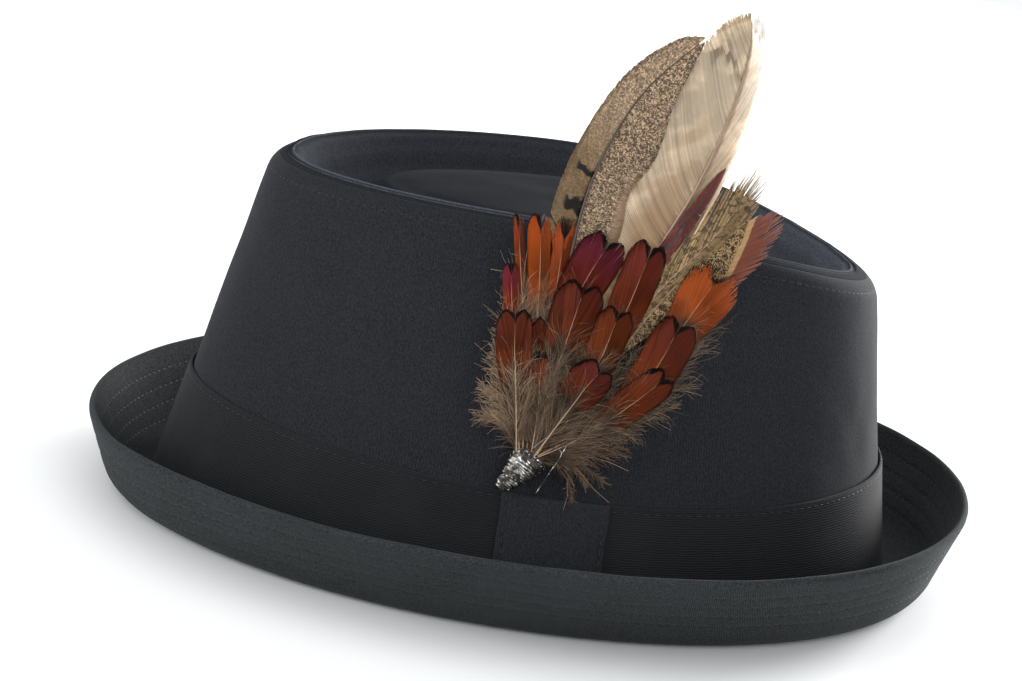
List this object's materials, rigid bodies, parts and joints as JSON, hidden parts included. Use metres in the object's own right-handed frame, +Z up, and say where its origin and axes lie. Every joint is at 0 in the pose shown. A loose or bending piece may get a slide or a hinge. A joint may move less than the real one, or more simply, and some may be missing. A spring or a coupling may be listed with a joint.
{
  "type": "porkpie hat",
  "caption": "Cloth porkpie hat: straight crown with a sunken channel and dome on top, ribbed band with a flat tab, stitched turned-up brim and a bound feather plume at the left.",
  "frame": {"origin": "On the surface that the hat rests on, under the middle of the brim's outline.", "axes": "+X towards the wearer's left, where the tab and the plume are, +Y towards the back of the head, +Z up."},
  "size_m": [0.2372, 0.2468, 0.16],
  "materials": {
    "twill": "matte twill, slightly faded",
    "ribbed_band": "fine crosswise ribs, dull sheen",
    "feathers": "soft sheen, orange, brown and cream barbs",
    "silver_thread": "shiny metallic thread, wound"
  },
  "bodies": {
    "root": {"brim": "twill", "crown_side": "twill", "crown_tip": "twill", "hatband": "ribbed_band", "band_tab": "twill", "plume": "feathers", "plume_binding": "silver_thread"}
  },
  "joints": []
}
